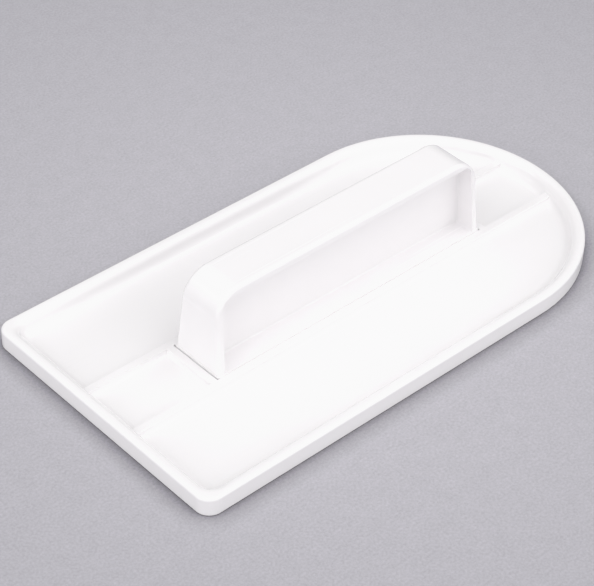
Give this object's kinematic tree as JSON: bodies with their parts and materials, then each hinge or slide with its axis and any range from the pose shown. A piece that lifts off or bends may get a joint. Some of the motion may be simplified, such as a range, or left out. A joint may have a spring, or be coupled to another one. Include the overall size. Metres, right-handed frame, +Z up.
{
  "type": "fondant smoother",
  "caption": "Flat rimmed plastic paddle with one square end and one round end, and an upright ribbed grip on top for smoothing icing.",
  "frame": {"origin": "centre of the paddle's footprint, on the flat smoothing underside", "axes": "+X along the length towards the round end, +Y across the width, +Z up through the grip"},
  "size_m": [0.15, 0.08, 0.026],
  "materials": {
    "plate_plastic": "smooth glossy white moulded plastic",
    "grip_plastic": "smooth satin-gloss white moulded plastic"
  },
  "bodies": {
    "root": {"base_plate": "plate_plastic", "handle": "grip_plastic"}
  },
  "joints": []
}
